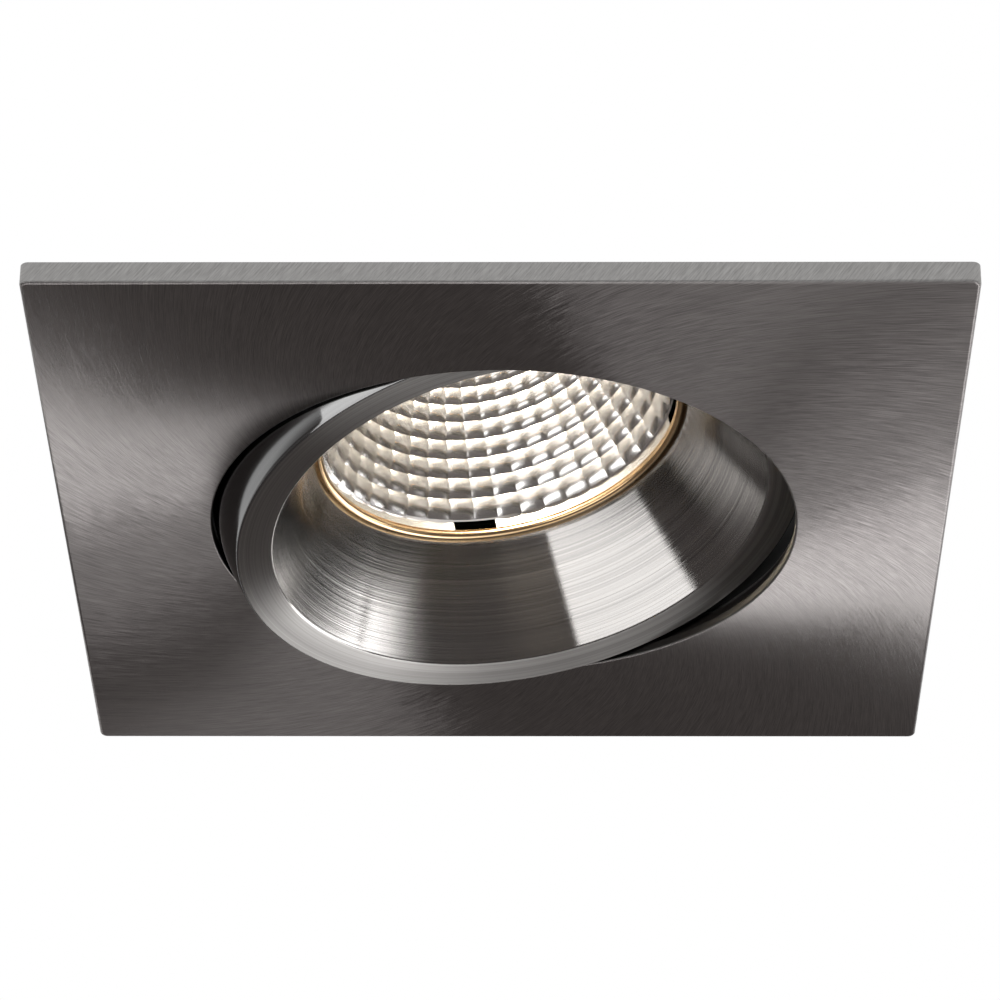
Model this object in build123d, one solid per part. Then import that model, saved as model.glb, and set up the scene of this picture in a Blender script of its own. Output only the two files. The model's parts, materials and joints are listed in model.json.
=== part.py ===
from build123d import *

import math
import os

# Square recessed gimbal light. The origin is the centre of the face plate's back, which lies against the
# ceiling, and +Z points up into the ceiling. The head is modelled level, about its pivot, and then turned
# and tilted to the way it points.

# Driving dimensions, in millimetres and degrees

# How the head points at rest, and where its pivot lies above the ceiling face
SWIVEL = -21.3
TILT = 11.5
PIVOT_Z = 7.75

# Face plate
PLATE_SIDE = 88.0
PLATE_THICKNESS = 2.25
PLATE_CORNER_R = 0.8
PLATE_EDGE_R = 0.35
HOLE_LIP_R = 0.2
HOLE_LAND = 0.7
HOLE_FLARE = 0.3
SPIGOT_WALL = 3.9
SPIGOT_HEIGHT = 6.0
TRACK_FLOOR = 0.2

# Ball-shaped outside of the head and its front ring and cone
BALL_R = 30.3
BALL_GAP = 0.18
BALL_WALL = 2.0
BALL_ABOVE_PIVOT = 5.0
RIM_RECESS = 0.17
RIM_WIDTH = 3.5
RIM_DISH = 0.2
RIM_BEVEL = 0.15
FRONT_WALL = 2.4
CONE_DEPTH = 11.2
CONE_WALL = 1.85
LIP_HEIGHT = 1.0
LIP_BEVEL = 0.25
CAN_WALL = 1.6

# Reflector and its snap ring
REFLECTOR_R = 18.2
REFLECTOR_WALL = 0.6
REFLECTOR_RISE = 0.25
REFLECTOR_GAP = 0.3
RIM_BAND = 2.1
BOWL_DEPTH = 19.0
NECK_R = 7.4
FACET_COLUMNS = 45
FACET_ROWS = 12
ROW_TAPER = 0.35
FLANGE_REACH = 0.8
FLANGE_THICKNESS = 1.0
FLANGE_PLAY = 0.3
SLOT_COUNT = 4
SLOT_WIDTH = 4.3
SLOT_HEIGHT = 1.1
SLOT_DROP = 0.1
SLOT_ANGLE = 30.0
SNAP_THICKNESS = 0.8
SNAP_WIDTH = 0.75
SNAP_OPENING = 20.0

# LED, from the reflector's neck up to the heat sink
EMITTER_R = 5.5
EMITTER_GAP = 0.2
EMITTER_THICKNESS = 0.5
BOARD_SIDE = 16.0
BOARD_THICKNESS = 1.0
BOARD_PLAY = 0.1
PAD_THICKNESS = 0.3
HOLDER_R = 15.5
HOLDER_LIP = 1.1
HOLDER_NECK_GAP = 1.0
HOLDER_SCREW_CIRCLE = 13.0
HOLDER_SCREW_DEPTH = 2.5

# Heat sink and what is fastened to it
SINK_BASE = 3.5
FIN_HEIGHT = 11.5
FIN_THICKNESS = 1.3
FIN_PITCH = 4.2
FIN_INSET = 1.3
BOSS_R = 2.2
BOSS_INSET = 1.8
BOSS_HEIGHT = 11.0
SINK_SCREW_COUNT = 3
SINK_SCREW_ANGLE = 30.0
SINK_SCREW_DEPTH = 8.0
POCKET_MARGIN = 0.7
GROMMET_INSET = 8.0
GROMMET_R = 3.2
GROMMET_FLANGE_R = 4.4
GROMMET_FLANGE = 1.5
GROMMET_BORE_R = 2.0
CORE_SLOT_MARGIN = 0.4

# Swivel track: ring, washers, stop lug, tilt pins and tilt washers
RING_WALL = 2.0
RING_PLAY = 0.3
RING_ABOVE_PIVOT = 3.25
SLIP_WASHER = 0.5
SLIP_GAP = 0.1
TILT_PIN_R = 1.5
TILT_PIN_PLAY = 0.06
TILT_PIN_BITE = 5.5
TILT_BOSS_R = 3.4
TILT_WASHER_R = 3.2
TILT_WASHER = 0.5
TILT_WASHER_PLAY = 0.25
LUG_REACH = 0.6
LUG_PLAY = 0.2
LUG_ANGLE = 5.0
STOP_ANGLE = 6.0
STOP_GROOVE = 3.0
STOP_PLAY = 0.4

# Collar that closes the track, flush with the spigot, and carries the ceiling clips
COLLAR_FLANGE = 0.8
COLLAR_SCREW_COUNT = 4
COLLAR_SCREW_ANGLE = 45.0
COLLAR_SCREW_INSET = 1.7
COLLAR_SCREW_DEPTH = 4.5

# Ceiling clips: a wire spring wound on a pin, with a looped arm
WIRE_R = 0.6
COIL_R = 2.3
COIL_GAP = 0.5
COIL_TURNS = 2.25
COIL_APART = 2.0
ARM_DROP = 28.0
ARM_LENGTH = 27.0
ARM_CORNER_R = 3.0
CLIP_INSET = 3.5
CLIP_STOP_GAP = 0.4
CLIP_PIN_PLAY = 0.3
CLIP_PIN_HEAD = 0.8
CLIP_PIN_HEAD_RIM = 0.8
EAR_THICKNESS = 2.0
EAR_WALL = 1.2
EAR_PLAY = 0.6
SLEEVE_R = 1.5
SLEEVE_PLAY = 0.05
SLEEVE_END_GAP = 0.3

# Screws: shaft radius, head radius, head height, and the play of a shaft in its clearance hole
SMALL_SHAFT_R = 1.0
SMALL_HEAD_R = 1.7
SMALL_HEAD = 1.2
LARGE_SHAFT_R = 1.25
LARGE_HEAD_R = 2.25
LARGE_HEAD = 1.6
SCREW_PLAY = 0.1
DRIVE_R = 0.7
DRIVE_DEPTH = 0.6

# Cutters run this far past what they cut
THROUGH = 1.0

# Sizes worked out from those above, radii first and then heights from the ceiling face

land_drop = PIVOT_Z + PLATE_THICKNESS - HOLE_LIP_R - HOLE_LAND
HOLE_R = math.sqrt(BALL_R**2 - land_drop**2) + BALL_GAP
HOLE_BACK_R = math.sqrt(BALL_R**2 - (PIVOT_Z - TRACK_FLOOR) ** 2) + HOLE_FLARE
RING_R = BALL_R + TILT_WASHER + 2 * TILT_WASHER_PLAY
RING_OUTER_R = RING_R + RING_WALL
SPIGOT_INNER_R = RING_OUTER_R + RING_PLAY
SPIGOT_R = SPIGOT_INNER_R + SPIGOT_WALL
LUG_R = RING_OUTER_R + LUG_REACH
GROOVE_R = LUG_R + LUG_PLAY
COLLAR_R = SPIGOT_R
COLLAR_SCREW_R = COLLAR_R - COLLAR_SCREW_INSET
LOWER_WASHER_TOP_Z = TRACK_FLOOR + SLIP_WASHER
LOWER_RING_Z = LOWER_WASHER_TOP_Z + SLIP_GAP
UPPER_RING_Z = PIVOT_Z + RING_ABOVE_PIVOT
UPPER_WASHER_Z = UPPER_RING_Z + SLIP_GAP
FLANGE_UNDER_Z = UPPER_WASHER_Z + SLIP_WASHER
COLLAR_TOP_Z = FLANGE_UNDER_Z + COLLAR_FLANGE

# Clip axis: the arm, at its drop, just clears the collar's outer edge
CLIP_X = COLLAR_R - CLIP_INSET
arm_side = COIL_R + WIRE_R + CLIP_STOP_GAP + CLIP_INSET * math.sin(math.radians(ARM_DROP))
CLIP_Z = COLLAR_TOP_Z + arm_side / math.cos(math.radians(ARM_DROP))
CLIP_PIN_R = COIL_R - WIRE_R - CLIP_PIN_PLAY
COIL_PITCH = 2 * WIRE_R + COIL_GAP
COIL_WIDTH = COIL_PITCH * COIL_TURNS
EAR_Y = COIL_APART / 2 + COIL_WIDTH + WIRE_R + EAR_PLAY
EAR_R = CLIP_PIN_R + EAR_WALL

# Heights and radii of the head, about its pivot
RIM_Z = RIM_RECESS - PIVOT_Z - PLATE_THICKNESS
RIM_R = math.sqrt(BALL_R**2 - RIM_Z**2)
MOUTH_Z = RIM_Z + RIM_DISH
MOUTH_R = RIM_R - RIM_WIDTH
CONE_TOP_Z = MOUTH_Z + CONE_DEPTH
CONE_TOP_R = REFLECTOR_R + REFLECTOR_WALL + REFLECTOR_GAP
LEDGE_Z = CONE_TOP_Z + LIP_HEIGHT
FLANGE_R = CONE_TOP_R + FLANGE_REACH
FLANGE_TOP_Z = LEDGE_Z + FLANGE_THICKNESS
CAN_INNER_R = FLANGE_R + FLANGE_PLAY
CAN_R = CAN_INNER_R + CAN_WALL
BAND_Z = CONE_TOP_Z + REFLECTOR_RISE
BOWL_Z = BAND_Z + RIM_BAND
NECK_Z = BOWL_Z + BOWL_DEPTH
EMITTER_Z = NECK_Z + EMITTER_GAP
BOARD_Z = EMITTER_Z + EMITTER_THICKNESS
PAD_Z = BOARD_Z + BOARD_THICKNESS
SINK_Z = PAD_Z + PAD_THICKNESS
HOLDER_Z = BOARD_Z - HOLDER_LIP
FIN_Z = SINK_Z + SINK_BASE
SINK_TOP_Z = FIN_Z + FIN_HEIGHT
FIN_R = CAN_R - FIN_INSET
GROMMET_CIRCLE = FIN_R - GROMMET_INSET
BOSS_CIRCLE = CAN_INNER_R - BOSS_INSET
BOSS_Z = SINK_Z - BOSS_HEIGHT

swivel_turn = Rot(0, 0, SWIVEL)
head_place = Pos(0, 0, PIVOT_Z) * swivel_turn * Rot(0, -TILT, 0)


def turned(*outline):
    """Solid of revolution about Z from an outline of (radius, height) points."""
    face = make_face(Polyline(*outline, close=True))
    return revolve(Plane.XZ * face, Axis.Z)


def tube(inner, outer, low, high):
    """Ring with a rectangular section."""
    return turned((inner, low), (outer, low), (outer, high), (inner, high))


def rod(radius, low, high):
    """Round bar along Z between two heights."""
    return Pos(0, 0, low) * extrude(Circle(radius), high - low)


def around(count, radius, first):
    """Places on a circle about Z."""
    return [Rot(0, 0, first + i * 360 / count) * Pos(radius, 0, 0) for i in range(count)]


def screw(shaft_r, head_r, head, low, seat):
    """Screw along Z, with its head on top of its seat and a six-sided drive recess."""
    body = rod(shaft_r, low, seat) + rod(head_r, seat, seat + head)
    recess = extrude(RegularPolygon(DRIVE_R, 6), DRIVE_DEPTH)
    return body - Pos(0, 0, seat + head - DRIVE_DEPTH) * recess


def group(solids):
    """Several loose solids that share one node."""
    return Compound(children=list(solids))


def face_plate():
    """Square plate with a lipped hole that flares behind, and the spigot that enters the ceiling."""
    sheet = extrude(RectangleRounded(PLATE_SIDE, PLATE_SIDE, PLATE_CORNER_R), PLATE_THICKNESS)
    sheet = Pos(0, 0, -PLATE_THICKNESS) * sheet
    sheet = fillet(sheet.faces().sort_by(Axis.Z)[0].edges(), PLATE_EDGE_R)
    front = -PLATE_THICKNESS
    spigot = rod(SPIGOT_R, 0, SPIGOT_HEIGHT) - rod(SPIGOT_INNER_R, TRACK_FLOOR, SPIGOT_HEIGHT)
    land = front + HOLE_LIP_R + HOLE_LAND
    lip_mid = HOLE_LIP_R * (1 - math.sqrt(0.5))
    lip = ThreePointArc(
        (HOLE_R + HOLE_LIP_R, front),
        (HOLE_R + lip_mid, front + lip_mid),
        (HOLE_R, front + HOLE_LIP_R),
    )
    side = Polyline(
        lip @ 1,
        (HOLE_R, land),
        (HOLE_BACK_R, TRACK_FLOOR),
        (HOLE_BACK_R, THROUGH),
        (0, THROUGH),
        (0, front - THROUGH),
        (HOLE_R + HOLE_LIP_R, front - THROUGH),
        lip @ 0,
    )
    hole = revolve(Plane.XZ * make_face([lip, side]), Axis.Z)
    plate = sheet + spigot - hole
    groove = make_face(
        Polyline(
            (SPIGOT_INNER_R - THROUGH, SPIGOT_HEIGHT - STOP_GROOVE),
            (GROOVE_R, SPIGOT_HEIGHT - STOP_GROOVE),
            (GROOVE_R, SPIGOT_HEIGHT + THROUGH),
            (SPIGOT_INNER_R - THROUGH, SPIGOT_HEIGHT + THROUGH),
            close=True,
        )
    )
    groove = revolve(Plane.XZ * groove, Axis.Z, revolution_arc=360 - STOP_ANGLE)
    plate -= Rot(0, 0, 180 + STOP_ANGLE / 2) * groove
    tapped = rod(SMALL_SHAFT_R, SPIGOT_HEIGHT - COLLAR_SCREW_DEPTH, SPIGOT_HEIGHT + THROUGH)
    for place in around(COLLAR_SCREW_COUNT, COLLAR_SCREW_R, COLLAR_SCREW_ANGLE):
        plate -= place * tapped
    return plate


def clip_collar():
    """Ring screwed onto the spigot, with an inward flange over the track and two pairs of ears."""
    collar = turned(
        (SPIGOT_INNER_R, SPIGOT_HEIGHT),
        (COLLAR_R, SPIGOT_HEIGHT),
        (COLLAR_R, COLLAR_TOP_Z),
        (RING_R, COLLAR_TOP_Z),
        (RING_R, FLANGE_UNDER_Z),
        (SPIGOT_INNER_R, FLANGE_UNDER_Z),
    )
    clearance = rod(SMALL_SHAFT_R + SCREW_PLAY, SPIGOT_HEIGHT - THROUGH, COLLAR_TOP_Z + THROUGH)
    for place in around(COLLAR_SCREW_COUNT, COLLAR_SCREW_R, COLLAR_SCREW_ANGLE):
        collar -= place * clearance
    foot = CLIP_Z - COLLAR_TOP_Z
    profile = Circle(EAR_R) + Pos(0, -foot / 2) * Rectangle(2 * EAR_R, foot) - Circle(CLIP_PIN_R)
    ear = extrude(Plane.XZ * profile, -EAR_THICKNESS)
    for turn in (0, 180):
        for low in (EAR_Y, -EAR_Y - EAR_THICKNESS):
            collar += Rot(0, 0, turn) * Pos(CLIP_X, low, CLIP_Z) * ear
    return collar


def collar_screws():
    one = screw(SMALL_SHAFT_R, SMALL_HEAD_R, SMALL_HEAD, SPIGOT_HEIGHT - COLLAR_SCREW_DEPTH, COLLAR_TOP_Z)
    return group(p * one for p in around(COLLAR_SCREW_COUNT, COLLAR_SCREW_R, COLLAR_SCREW_ANGLE))


def lower_slip_washer():
    return tube(RING_R, RING_OUTER_R, TRACK_FLOOR, LOWER_WASHER_TOP_Z)


def upper_slip_washer():
    return tube(RING_R, RING_OUTER_R, UPPER_WASHER_Z, FLANGE_UNDER_Z)


def tilt_rod(radius, low, high):
    """Round bar along the tilt axis, from one distance from the pivot to another."""
    return Rot(-90, 0, 0) * rod(radius, low, high)


def both_sides(shape):
    """A shape on the tilt axis and its twin across the pivot."""
    return [shape, Rot(0, 0, 180) * shape]


def swivel_ring():
    """Ring that turns in the track, with a stop lug and the bores of the tilt pins."""
    ring = tube(RING_R, RING_OUTER_R, LOWER_RING_Z, UPPER_RING_Z)
    low = SPIGOT_HEIGHT - STOP_GROOVE + STOP_PLAY
    high = SPIGOT_HEIGHT - STOP_PLAY
    lug = make_face(Polyline((RING_R, low), (LUG_R, low), (LUG_R, high), (RING_R, high), close=True))
    ring += Rot(0, 0, -LUG_ANGLE / 2) * revolve(Plane.XZ * lug, Axis.Z, revolution_arc=LUG_ANGLE)
    for bore in both_sides(tilt_rod(TILT_PIN_R + TILT_PIN_PLAY, BALL_R, LUG_R)):
        ring -= Pos(0, 0, PIVOT_Z) * bore
    return swivel_turn * ring


def tilt_washers():
    low = BALL_R + TILT_WASHER_PLAY
    high = low + TILT_WASHER
    one = tilt_rod(TILT_WASHER_R, low, high) - tilt_rod(TILT_PIN_R + SCREW_PLAY, low, high)
    return group(swivel_turn * Pos(0, 0, PIVOT_Z) * w for w in both_sides(one))


def tilt_pins():
    one = tilt_rod(TILT_PIN_R, BALL_R - TILT_PIN_BITE, RING_OUTER_R - RING_PLAY)
    return group(head_place * p for p in both_sides(one))


def sphere_arc(radius, low, high):
    """Arc of the ball's outline between two heights."""
    middle = (low + high) / 2
    return ThreePointArc(*((math.sqrt(radius**2 - z**2), z) for z in (low, middle, high)))


def gimbal_bezel():
    """Ball-shaped ring, front ring, cone and lamp can in one casting, with bosses for pins and screws."""
    slope = (MOUTH_R - CONE_TOP_R) / CONE_DEPTH
    floor_z = RIM_Z + FRONT_WALL
    floor_r = MOUTH_R - slope * (floor_z - MOUTH_Z) + CONE_WALL
    shoulder_z = CONE_TOP_Z - (CAN_R - CONE_WALL - CONE_TOP_R) / slope
    outside = sphere_arc(BALL_R, RIM_Z + RIM_BEVEL, BALL_ABOVE_PIVOT)
    inside = sphere_arc(BALL_R - BALL_WALL, BALL_ABOVE_PIVOT, floor_z)
    section = make_face(
        [
            outside,
            Line(outside @ 1, inside @ 0),
            inside,
            Polyline(
                inside @ 1,
                (floor_r, floor_z),
                (CAN_R, shoulder_z),
                (CAN_R, SINK_Z),
                (CAN_INNER_R, SINK_Z),
                (CAN_INNER_R, LEDGE_Z),
                (CONE_TOP_R, LEDGE_Z),
                (CONE_TOP_R, CONE_TOP_Z + LIP_BEVEL),
                (CONE_TOP_R + slope * LIP_BEVEL, CONE_TOP_Z - LIP_BEVEL),
                (MOUTH_R - slope * RIM_BEVEL, MOUTH_Z + RIM_BEVEL),
                (MOUTH_R + RIM_BEVEL, MOUTH_Z),
                (RIM_R - RIM_BEVEL, RIM_Z),
                outside @ 0,
            ),
        ]
    )
    bezel = revolve(Plane.XZ * section, Axis.Z)
    boss_foot = MOUTH_R + slope * (TILT_BOSS_R + MOUTH_Z) + CONE_WALL / 2
    for boss in both_sides(tilt_rod(TILT_BOSS_R, boss_foot, BALL_R - BALL_WALL / 2)):
        bezel += boss
    for hole in both_sides(tilt_rod(TILT_PIN_R, BALL_R - TILT_PIN_BITE, BALL_R + THROUGH)):
        bezel -= hole
    post = rod(BOSS_R, BOSS_Z, SINK_Z) & rod(CAN_R, BOSS_Z, SINK_Z).moved(Pos(-BOSS_CIRCLE, 0, 0))
    tapped = rod(LARGE_SHAFT_R, SINK_Z - SINK_SCREW_DEPTH, SINK_Z + THROUGH)
    for place in around(SINK_SCREW_COUNT, BOSS_CIRCLE, SINK_SCREW_ANGLE):
        bezel += place * post
        bezel -= place * tapped
    return head_place * bezel


def bowl_radius(z):
    """Parabola of the reflector's inside, from the rim band to the neck."""
    share = (z - BOWL_Z) / BOWL_DEPTH
    return math.sqrt(REFLECTOR_R**2 + (NECK_R**2 - REFLECTOR_R**2) * share)


def reflector():
    """Thin bowl with flat facets in columns and rows, a smooth slotted rim band and a seating flange."""
    shares = [i / FACET_ROWS for i in range(FACET_ROWS + 1)]
    rows = [BOWL_Z + BOWL_DEPTH * t * (1 + ROW_TAPER * (1 - t)) for t in shares]
    outer = [(bowl_radius(z) + REFLECTOR_WALL, z) for z in rows]
    mouth_r = REFLECTOR_R + REFLECTOR_WALL
    shell = turned(
        (0, BAND_Z),
        (mouth_r, BAND_Z),
        (mouth_r, LEDGE_Z),
        (FLANGE_R, LEDGE_Z),
        (FLANGE_R, FLANGE_TOP_Z),
        (mouth_r, FLANGE_TOP_Z),
        *outer,
        (0, NECK_Z),
    )
    rings = [Pos(0, 0, z) * RegularPolygon(bowl_radius(z), FACET_COLUMNS) for z in rows]
    shell -= loft(rings, ruled=True)
    shell -= rod(REFLECTOR_R, BAND_Z, BOWL_Z)
    slot_z = BOWL_Z - SLOT_DROP - SLOT_HEIGHT / 2
    slot = Pos(0, 0, slot_z) * Box(4 * REFLECTOR_WALL, SLOT_WIDTH, SLOT_HEIGHT)
    for place in around(SLOT_COUNT, REFLECTOR_R, SLOT_ANGLE):
        shell -= place * slot
    return head_place * shell


def reflector_snap_ring():
    """Open spring ring in the can that holds the reflector's flange down on its ledge."""
    section = Polyline(
        (CAN_INNER_R - SNAP_WIDTH, FLANGE_TOP_Z),
        (CAN_INNER_R, FLANGE_TOP_Z),
        (CAN_INNER_R, FLANGE_TOP_Z + SNAP_THICKNESS),
        (CAN_INNER_R - SNAP_WIDTH, FLANGE_TOP_Z + SNAP_THICKNESS),
        close=True,
    )
    ring = revolve(Plane.XZ * make_face(section), Axis.Z, revolution_arc=360 - SNAP_OPENING)
    return head_place * ring


def led_emitter():
    return head_place * rod(EMITTER_R, EMITTER_Z, BOARD_Z)


def led_board():
    return head_place * Pos(0, 0, BOARD_Z) * extrude(Rectangle(BOARD_SIDE, BOARD_SIDE), BOARD_THICKNESS)


def thermal_pad():
    return head_place * Pos(0, 0, PAD_Z) * extrude(Rectangle(BOARD_SIDE, BOARD_SIDE), PAD_THICKNESS)


def holder_screw_places():
    return around(2, HOLDER_SCREW_CIRCLE, 0)


def led_holder():
    """Round holder that clamps the board's corners, with a slot for the supply cores."""
    holder = rod(HOLDER_R, HOLDER_Z, SINK_Z)
    neck = bowl_radius(HOLDER_Z) + REFLECTOR_WALL + HOLDER_NECK_GAP
    holder -= rod(neck, HOLDER_Z, SINK_Z)
    pocket = BOARD_SIDE + 2 * BOARD_PLAY
    holder -= Pos(0, 0, BOARD_Z) * extrude(Rectangle(pocket, pocket), SINK_Z - BOARD_Z)
    holder -= Pos(0, GROMMET_CIRCLE, 0) * rod(GROMMET_BORE_R + CORE_SLOT_MARGIN, HOLDER_Z, SINK_Z)
    for place in holder_screw_places():
        holder -= place * rod(SMALL_SHAFT_R + SCREW_PLAY, HOLDER_Z, SINK_Z)
    return head_place * holder


def holder_screws():
    one = Rot(180, 0, 0) * screw(
        SMALL_SHAFT_R, SMALL_HEAD_R, SMALL_HEAD, -SINK_Z - HOLDER_SCREW_DEPTH, -HOLDER_Z
    )
    return group(head_place * p * one for p in holder_screw_places())


def heat_sink():
    """Round base with straight fins, cut back round the screws and the cable inlet."""
    reach = int((FIN_R - FIN_THICKNESS) / FIN_PITCH)
    fins = rod(FIN_R, FIN_Z, SINK_TOP_Z)
    slot = Pos(0, 0, FIN_Z) * extrude(Rectangle(FIN_PITCH - FIN_THICKNESS, 2 * CAN_R), FIN_HEIGHT)
    for i in range(-reach - 1, reach + 1):
        fins -= Pos((i + 0.5) * FIN_PITCH, 0, 0) * slot
    inlet = Pos(0, GROMMET_CIRCLE, 0)
    fins -= inlet * rod(GROMMET_FLANGE_R + POCKET_MARGIN, FIN_Z, SINK_TOP_Z)
    screw_places = around(SINK_SCREW_COUNT, BOSS_CIRCLE, SINK_SCREW_ANGLE)
    pocket_r = LARGE_HEAD_R + POCKET_MARGIN
    way_out = Pos(CAN_R / 2, 0, FIN_Z) * extrude(Rectangle(CAN_R, 2 * pocket_r), FIN_HEIGHT)
    for place in screw_places:
        fins -= place * (rod(pocket_r, FIN_Z, SINK_TOP_Z) + way_out)
    outer = Pos(0, 0, FIN_Z) * extrude(Rectangle(2 * (reach * FIN_PITCH + FIN_THICKNESS), 2 * CAN_R), FIN_HEIGHT)
    sink = rod(CAN_R, SINK_Z, FIN_Z) + (fins & outer)
    sink -= inlet * rod(GROMMET_R, SINK_Z, FIN_Z)
    for place in screw_places:
        sink -= place * rod(LARGE_SHAFT_R + SCREW_PLAY, SINK_Z, FIN_Z)
    for place in holder_screw_places():
        sink -= place * rod(SMALL_SHAFT_R, SINK_Z - THROUGH, SINK_Z + HOLDER_SCREW_DEPTH)
    return head_place * sink


def heat_sink_screws():
    one = screw(LARGE_SHAFT_R, LARGE_HEAD_R, LARGE_HEAD, SINK_Z - SINK_SCREW_DEPTH, FIN_Z)
    return group(head_place * p * one for p in around(SINK_SCREW_COUNT, BOSS_CIRCLE, SINK_SCREW_ANGLE))


def cable_grommet():
    """Rubber bush that lines the cable inlet."""
    bush = rod(GROMMET_R, SINK_Z, FIN_Z) + rod(GROMMET_FLANGE_R, FIN_Z, FIN_Z + GROMMET_FLANGE)
    bush -= rod(GROMMET_BORE_R, SINK_Z, FIN_Z + GROMMET_FLANGE)
    return head_place * Pos(0, GROMMET_CIRCLE, 0) * bush


def coil_points():
    """Points and directions at each quarter turn of one coil, from its inner end out to the arm."""
    end = -90 - ARM_DROP
    quarters = round(COIL_TURNS * 4)
    climb = COIL_PITCH / (2 * math.pi)
    marks = []
    for i in range(quarters + 1):
        angle = math.radians(end - 90 * (quarters - i))
        y = -COIL_APART / 2 - COIL_PITCH * i / 4
        point = Vector(COIL_R * math.cos(angle), y, COIL_R * math.sin(angle))
        along = Vector(-COIL_R * math.sin(angle), -climb, COIL_R * math.cos(angle)).normalized()
        marks.append((point, along))
    return marks


def biarcs(marks):
    """Pairs of tangent arcs through points with given directions."""
    edges = []
    for (start, leave), (stop, arrive) in zip(marks, marks[1:]):
        chord = stop - start
        both = leave + arrive
        bend = 1 - leave.dot(arrive)
        root = math.sqrt(chord.dot(both) ** 2 + 2 * bend * chord.dot(chord))
        reach = (root - chord.dot(both)) / (2 * bend)
        first = start + leave * reach
        second = stop - arrive * reach
        middle = (first + second) / 2
        edges.append(TangentArc(start, middle, tangent=leave))
        edges.append(TangentArc(middle, stop, tangent=(second - first).normalized()))
    return edges


def across(vector):
    """Mirror image on the other side of the clip's middle plane."""
    return Vector(vector.X, -vector.Y, vector.Z)


def arm_corner():
    """Where the arm meets the cross bar, if the corner were sharp."""
    point, along = coil_points()[-1]
    return point + along * ARM_LENGTH


def wire_path():
    """Centre line of the clip's wire: leg, coil, looped arm, coil and leg."""
    near = coil_points()
    far = [(across(p), -across(d)) for p, d in reversed(near)]
    leg = 2 * WIRE_R
    loop = FilletPolyline(near[-1][0], arm_corner(), across(arm_corner()), far[0][0], radius=ARM_CORNER_R)
    edges = [Line(near[0][0] - near[0][1] * leg, near[0][0])]
    edges += biarcs(near)
    edges += loop.edges()
    edges += biarcs(far)
    edges.append(Line(far[-1][0], far[-1][0] + far[-1][1] * leg))
    return Wire(edges)


def least_self_gap(path):
    """Smallest clear space between stretches of the wire that aren't neighbours, on points along it."""
    step = WIRE_R / 2
    count = int(path.length / step)
    points = [path.position_at(i / count) for i in range(count + 1)]
    apart = round(math.pi * COIL_R / step)
    gaps = (
        (points[i] - points[j]).length
        for i in range(len(points))
        for j in range(i + apart, len(points))
    )
    return min(gaps) - 2 * WIRE_R


def clip_spring():
    """One bent wire on the clip's own axes, with the pin along Y."""
    path = wire_path()
    print("clip spring: least gap to itself", round(least_self_gap(path), 3), "mm")
    section = Plane(path @ 0, z_dir=path % 0) * Circle(WIRE_R)
    wire = sweep(section, path=path)
    print("clip spring: volume over section times length", round(wire.volume / section.area / path.length, 4))
    return wire


def clip_sleeve():
    """Plastic tube on the straight of the cross bar."""
    corner = arm_corner()
    along = coil_points()[-1][1]
    turn = math.pi / 2 + math.atan2(-along.Y, math.hypot(along.X, along.Z))
    half = -corner.Y - ARM_CORNER_R * math.tan(turn / 2) - SLEEVE_END_GAP
    ring = Circle(SLEEVE_R) - Circle(WIRE_R + SLEEVE_PLAY)
    return Pos(corner.X, half, corner.Z) * extrude(Plane.XZ * ring, 2 * half)


def clip_pin():
    """Headed pin through the two ears and the coils."""
    end = EAR_Y + EAR_THICKNESS
    shank = Pos(0, -end, 0) * Rot(-90, 0, 0) * rod(CLIP_PIN_R, 0, 2 * end)
    head = Pos(0, end, 0) * Rot(-90, 0, 0) * rod(CLIP_PIN_R + CLIP_PIN_HEAD_RIM, 0, CLIP_PIN_HEAD)
    return shank + head


parts = {
    make.__name__: make()
    for make in (
        face_plate,
        clip_collar,
        collar_screws,
        lower_slip_washer,
        upper_slip_washer,
        swivel_ring,
        tilt_washers,
        tilt_pins,
        gimbal_bezel,
        reflector,
        reflector_snap_ring,
        led_emitter,
        led_board,
        thermal_pad,
        led_holder,
        holder_screws,
        heat_sink,
        heat_sink_screws,
        cable_grommet,
    )
}
for side, facing in (("right", 0), ("left", 180)):
    clip_place = Rot(0, 0, facing) * Pos(CLIP_X, 0, CLIP_Z)
    for make in (clip_spring, clip_sleeve, clip_pin):
        parts[f"{make.__name__}_{side}"] = clip_place * make()

os.makedirs("parts", exist_ok=True)
for name, shape in parts.items():
    export_step(shape, f"parts/{name}.step")
print("spigot radius", round(SPIGOT_R, 3), "hole radius", round(HOLE_R, 3), "clip axis", CLIP_X, round(CLIP_Z, 3))
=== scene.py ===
"""Looks of the recessed gimbal light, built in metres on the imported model's frame."""

import json
import math

import bmesh
import bpy
from mathutils import Matrix, Vector


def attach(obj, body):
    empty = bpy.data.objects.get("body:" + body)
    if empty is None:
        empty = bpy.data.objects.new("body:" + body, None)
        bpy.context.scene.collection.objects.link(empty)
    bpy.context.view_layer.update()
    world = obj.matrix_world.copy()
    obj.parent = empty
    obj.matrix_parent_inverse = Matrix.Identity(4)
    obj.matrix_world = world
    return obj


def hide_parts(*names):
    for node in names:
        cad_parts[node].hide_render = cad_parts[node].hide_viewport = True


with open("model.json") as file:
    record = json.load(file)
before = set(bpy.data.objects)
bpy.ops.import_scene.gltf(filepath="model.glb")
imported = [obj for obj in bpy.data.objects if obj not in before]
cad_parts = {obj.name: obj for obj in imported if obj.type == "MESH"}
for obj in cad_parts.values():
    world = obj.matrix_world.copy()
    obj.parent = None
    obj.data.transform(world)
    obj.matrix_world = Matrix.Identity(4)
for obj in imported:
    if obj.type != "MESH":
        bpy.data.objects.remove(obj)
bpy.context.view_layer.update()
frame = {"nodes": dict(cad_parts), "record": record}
scene = bpy.context.scene
scene.view_settings.view_transform = "Standard"
MM = 0.001

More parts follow.
